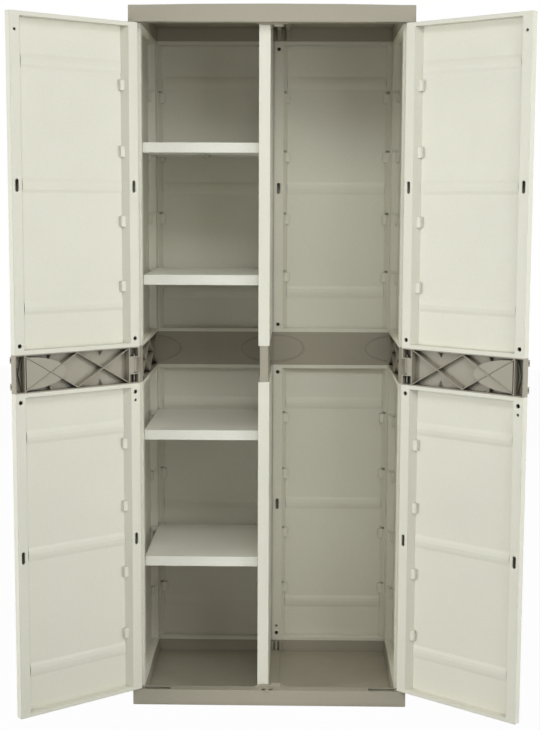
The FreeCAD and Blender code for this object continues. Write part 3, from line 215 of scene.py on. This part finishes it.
def moulded_resin(name, colour, mottle, roughness, grain, wave, soft_edge, open_share=0.42):
    """Coloured-through resin: cloudy pigment, satin grain, wavy wall, softened edges and painted
    shade in hollows.
    """
    speck_share = 0.10
    thin_cloud, thick_cloud = 0.3, 0.7
    light_rub, heavy_rub = 0.35, 0.65
    rubbed, unrubbed = roughness - 0.05, roughness + 0.07
    hollow_reach, painted_shade_depth = 0.025, 0.2
    material = bpy.data.materials.new(name)
    material.use_nodes = True
    add, link = new_nodes(material.node_tree)
    place = add("ShaderNodeTexCoord").outputs["Object"]
    clouds = noise(add, link, place, Scale=2.3, Detail=3.0, Roughness=0.55)
    specks = noise(add, link, place, Scale=240.0, Detail=2.0, Roughness=0.6)
    ripple = noise(add, link, place, Scale=11.0, Detail=2.0, Roughness=0.45)
    pits = noise(add, link, place, Scale=900.0, Detail=2.0, Roughness=0.5)
    rub = noise(add, link, place, Scale=34.0, Detail=5.0, Roughness=0.7, Distortion=0.6)

    dark = tuple(c * (1 - mottle) for c in colour) + (1,)
    pale = tuple(min(1.0, c * (1 + mottle)) for c in colour) + (1,)
    spread = remap(add, link, clouds, (thin_cloud, thick_cloud), (0.0, 1.0))
    cloudy = mixed(add, link, spread, dark, pale)
    speckled = mixed(add, link, speck_share, cloudy, specks, "MULTIPLY")
    # Painted shade: the colour goes darker in slots, eyes and creases, by ambient occlusion.
    tone = painted_hollow_shade(add, link, speckled, hollow_reach, open_share, painted_shade_depth)

    edge = add("ShaderNodeBevel", Radius=soft_edge, samples=4).outputs["Normal"]
    wavy = bumped(add, link, ripple, edge, wave)
    grained = bumped(add, link, pits, wavy, grain)
    rough = remap(add, link, rub, (light_rub, heavy_rub), (rubbed, unrubbed))

    surface = add("ShaderNodeBsdfPrincipled", IOR=1.47)
    link(tone, surface.inputs["Base Color"])
    link(rough, surface.inputs["Roughness"])
    link(grained, surface.inputs["Normal"])
    link(surface.outputs[0], add("ShaderNodeOutputMaterial").inputs["Surface"])
    return material


def finish_nodes(material, chosen):
    """Give the chosen solids one material."""
    for name in chosen:
        solid = frame["nodes"][name]
        solid.data.materials.clear()
        solid.data.materials.append(material)


ivory = moulded_resin("ivory_resin", (0.80, 0.78, 0.675), mottle=0.022, roughness=0.46,
                      grain=0.00003, wave=0.0009, soft_edge=0.0025)
finish_nodes(ivory, [name for name in frame["nodes"] if "panel" in name])

# ---------------------------------------------------------------- taupe base, cap and bands
# Heavier ribbed mouldings of a darker resin: the tray that the walls plug into, the same tray
# turned over as the roof, and the bands that join the lower panels to the upper ones.

taupe = moulded_resin("taupe_resin", (0.387, 0.354, 0.281), mottle=0.03, roughness=0.48,
                      grain=0.00003, wave=0.0006, soft_edge=0.0016, open_share=0.46)
finish_nodes(taupe, [name for name in frame["nodes"]
                     if name in ("base", "top_cap") or "band" in name])

# ---------------------------------------------------------------- shelves
# Four lift-out shelves of the palest resin, each a thin board with ribs underneath. Their ears
# rest on the clips of the side wall and of the divider.

shelf_resin = moulded_resin("shelf_resin", (0.838, 0.826, 0.74), mottle=0.015, roughness=0.44,
                            grain=0.00002, wave=0.0005, soft_edge=0.0015)
finish_nodes(shelf_resin, [name for name in frame["nodes"] if name.startswith("shelf_")])

# ---------------------------------------------------------------- hinge pivots and pins
# Moulded resin plugs at the ends of each door's hinge frame, whose pivots turn in the base and
# the cap. Halfway up, a zinc-plated steel pin joins the door's band to the side band.

pivot_resin = moulded_resin("pivot_resin", (0.37, 0.347, 0.28), mottle=0.02, roughness=0.5,
                            grain=0.00002, wave=0.0, soft_edge=0.0008)
finish_nodes(pivot_resin, [name for name in frame["nodes"] if "pivot" in name])


def plated_steel(name, colour, roughness):
    """Dull zinc-plated steel with faint rub marks along it, and painted shade in its hollows."""
    rubbed, unrubbed = roughness - 0.08, roughness + 0.12
    worn_share, lengthwise = 0.8, 0.08
    worn = tuple(c * worn_share for c in colour) + (1,)
    hollow_reach, hollow_open, painted_shade_depth = 0.02, 0.6, 0.05
    material = bpy.data.materials.new(name)
    material.use_nodes = True
    add, link = new_nodes(material.node_tree)
    stretch = add("ShaderNodeMapping")
    stretch.inputs["Scale"].default_value = (1, 1, lengthwise)
    link(add("ShaderNodeTexCoord").outputs["Object"], stretch.inputs["Vector"])
    marks = noise(add, link, stretch.outputs[0], Scale=1500.0, Detail=3.0)
    plating = mixed(add, link, marks, worn, colour + (1,))
    # Painted shade: the plating goes darker in hollows and pockets, by ambient occlusion.
    tone = painted_hollow_shade(add, link, plating, hollow_reach, hollow_open, painted_shade_depth)
    rough = remap(add, link, marks, (0.0, 1.0), (rubbed, unrubbed))
    surface = add("ShaderNodeBsdfPrincipled", Metallic=1.0)
    link(tone, surface.inputs["Base Color"])
    link(rough, surface.inputs["Roughness"])
    link(surface.outputs[0], add("ShaderNodeOutputMaterial").inputs["Surface"])
    return material


zinc = plated_steel("zinc_plate", (0.34, 0.33, 0.29), roughness=0.5)
finish_nodes(zinc, [name for name in frame["nodes"] if "hinge_pin" in name])

# ---------------------------------------------------------------- fixing screws
# Pan-head steel screws with a round drive recess, turned in through the eyes of the upright
# frames: four in each door beside its band and four in the right half of the rear wall.

shank_radius, shank_long = 0.0019, 0.0058
head_radius, head_rise = 0.0038, 0.0026
recess_share, recess_deep, recess_taper = 0.6, 0.0012, 0.9
# Each step is how far the end face rises and how much wider or narrower it gets.
shank_up, head_across = (shank_long, 1.0), (0.0, head_radius / shank_radius)
crown = ((head_rise * 0.5, 1.0), (head_rise * 0.3, 0.85), (head_rise * 0.2, 0.7))
recess = ((0.0, recess_share), (-recess_deep, recess_taper))


def fixing_screw(name, body, where):
    """Screw that stands on the frame's outer wall, with its head towards the eye."""
    shape = bmesh.new()
    bmesh.ops.create_circle(shape, cap_ends=True, segments=20, radius=shank_radius)
    shape.faces.ensure_lookup_table()
    top = shape.faces[0]
    for rise, width in (shank_up, head_across) + crown + recess:
        top = bmesh.ops.extrude_discrete_faces(shape, faces=[top])["faces"][0]
        bmesh.ops.translate(shape, vec=(0, 0, rise), verts=top.verts)
        level = Matrix.Translation((0, 0, -top.calc_center_median().z))
        bmesh.ops.scale(shape, vec=(width, width, 1), space=level, verts=top.verts)
    bmesh.ops.holes_fill(shape, edges=[edge for edge in shape.edges if edge.is_boundary])
    bmesh.ops.recalc_face_normals(shape, faces=shape.faces)
    bmesh.ops.transform(shape, matrix=where, verts=shape.verts)
    screw = piece_from(shape, name, zinc)
    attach(screw, body)


screw_over_foot, screw_under_head = 0.0225, 0.0195
frame_middle, free_frame_middle = 0.013, 0.3356
hinge_inset, outer_wall = 0.008, 0.0034
towards_back = Matrix.Rotation(math.radians(-90), 4, "X")
for joint in frame["joints"]:
    door = joint["child"]
    hinge_x, hinge_y, _ = joint["pos_m"]
    inward = -math.copysign(1, hinge_x)
    shut = math.radians(max(joint["range_deg"], key=abs))
    swing = Matrix.Translation((hinge_x, hinge_y, 0)) @ Matrix.Rotation(-shut, 4, "Z")
    heights = {"lower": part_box(door + "_panel_lower")[1].z - screw_under_head,
               "upper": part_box(door + "_panel_upper")[0].z + screw_over_foot}
    for level, height in heights.items():
        for edge, along in (("hinge", frame_middle), ("free", free_frame_middle)):
            seat = Matrix.Translation((inward * (along - hinge_inset),
                                       outer_wall - hinge_inset, height))
            fixing_screw("%s_screw_%s_%s" % (door, level, edge), door,
                         swing @ seat @ towards_back)

towards_front = Matrix.Rotation(math.radians(90), 4, "X")
number = 0
for panel in ("rear_right_panel_lower", "rear_right_panel_upper"):
    foot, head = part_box(panel)
    for height in (foot.z + screw_over_foot, head.z - screw_under_head):
        number += 1
        seat = Matrix.Translation((foot.x + frame_middle, head.y - outer_wall, height))
        fixing_screw("rear_screw_%d" % number, "carcass", seat @ towards_front)

# ---------------------------------------------------------------- rear seam
# The two halves of the rear wall meet on the centre line. A thin tongue of the same resin,
# moulded along the left half, closes the seam from the base to the cap.

tongue_width, tongue_sunk, tongue_edge = 0.0006, 0.0015, 0.0002
tongue_start, tongue_stop = 0.0035, 0.0005
tongue_over, tongue_play = 0.0015, 0.001
lower_foot, lower_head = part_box("rear_left_panel_lower")
upper_foot, upper_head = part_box("rear_left_panel_upper")
front, back = lower_foot.y + tongue_sunk, lower_head.y - tongue_sunk
band_low, band_high = lower_head.z + tongue_over, upper_foot.z + tongue_over
tongues = {"lower": (lower_foot.z + tongue_start, band_low - tongue_play, ivory, "ivory_resin"),
           "band": (band_low + tongue_play, band_high - tongue_play, taupe, "taupe_resin"),
           "upper": (band_high + tongue_play, upper_head.z - tongue_stop, ivory, "ivory_resin")}
for level, (low, high, resin, slot) in tongues.items():
    shape = bmesh.new()
    bmesh.ops.create_cube(shape, size=1.0)
    bmesh.ops.scale(shape, vec=(tongue_width, back - front, high - low), verts=shape.verts)
    bmesh.ops.translate(shape, vec=(0, (front + back) / 2, (low + high) / 2), verts=shape.verts)
    bmesh.ops.bevel(shape, geom=shape.edges[:], offset=tongue_edge, segments=2, profile=0.5,
                    affect="EDGES", material=-1)
    tongue = piece_from(shape, "rear_tongue_%s" % level, resin)
    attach(tongue, "carcass")

# ---------------------------------------------------------------- webs in the side walls' windows
# Over each shelf clip the core pin leaves a window in the slope of the frame. A thin web of
# the same ivory resin, moulded a little way in, closes it against dust and insects.

frame_flat, slope_wide, slope_drop = 0.026, 0.011, 0.0196
window_steps, window_tall, window_play = (-0.232, -0.072, 0.098, 0.258), 0.006, 0.0001
web_start, web_end, web_sunk, web_thick = 0.0272, 0.0356, 0.0025, 0.0012
web_outline = ((web_start, 0.0), (web_end, 0.0), (web_end, web_thick), (web_start, web_thick))


def window_web(shape, panel, height, mirrored):
    """Add the web of one window, parallel to the slope of the panel's frame."""
    low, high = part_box(panel)
    corners = []
    for across, back in web_outline:
        fall = slope_drop / slope_wide * (across - frame_flat)
        deep = high.x - low.x - fall - web_sunk - back
        x = low.x + deep if panel.startswith("left") else high.x - deep
        y = high.y - across if mirrored else low.y + across
        corners.append(shape.verts.new((x, y, height)))
    raised = bmesh.ops.extrude_face_region(shape, geom=[shape.faces.new(corners)])["geom"]
    bmesh.ops.translate(shape, vec=(0, 0, window_tall - 2 * window_play),
                        verts=[item for item in raised if isinstance(item, bmesh.types.BMVert)])


for wall in ("left_side", "right_side"):
    for level in ("lower", "upper"):
        panel = "%s_panel_%s" % (wall, level)
        middle = sum(corner.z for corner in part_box(panel)) / 2
        shape = bmesh.new()
        for step in window_steps:
            window_web(shape, panel, middle + step + window_play, mirrored=False)
            window_web(shape, panel, middle + step + window_play, mirrored=True)
        bmesh.ops.recalc_face_normals(shape, faces=shape.faces)
        webs = piece_from(shape, "%s_webs_%s" % (wall, level), ivory)
        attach(webs, "carcass")
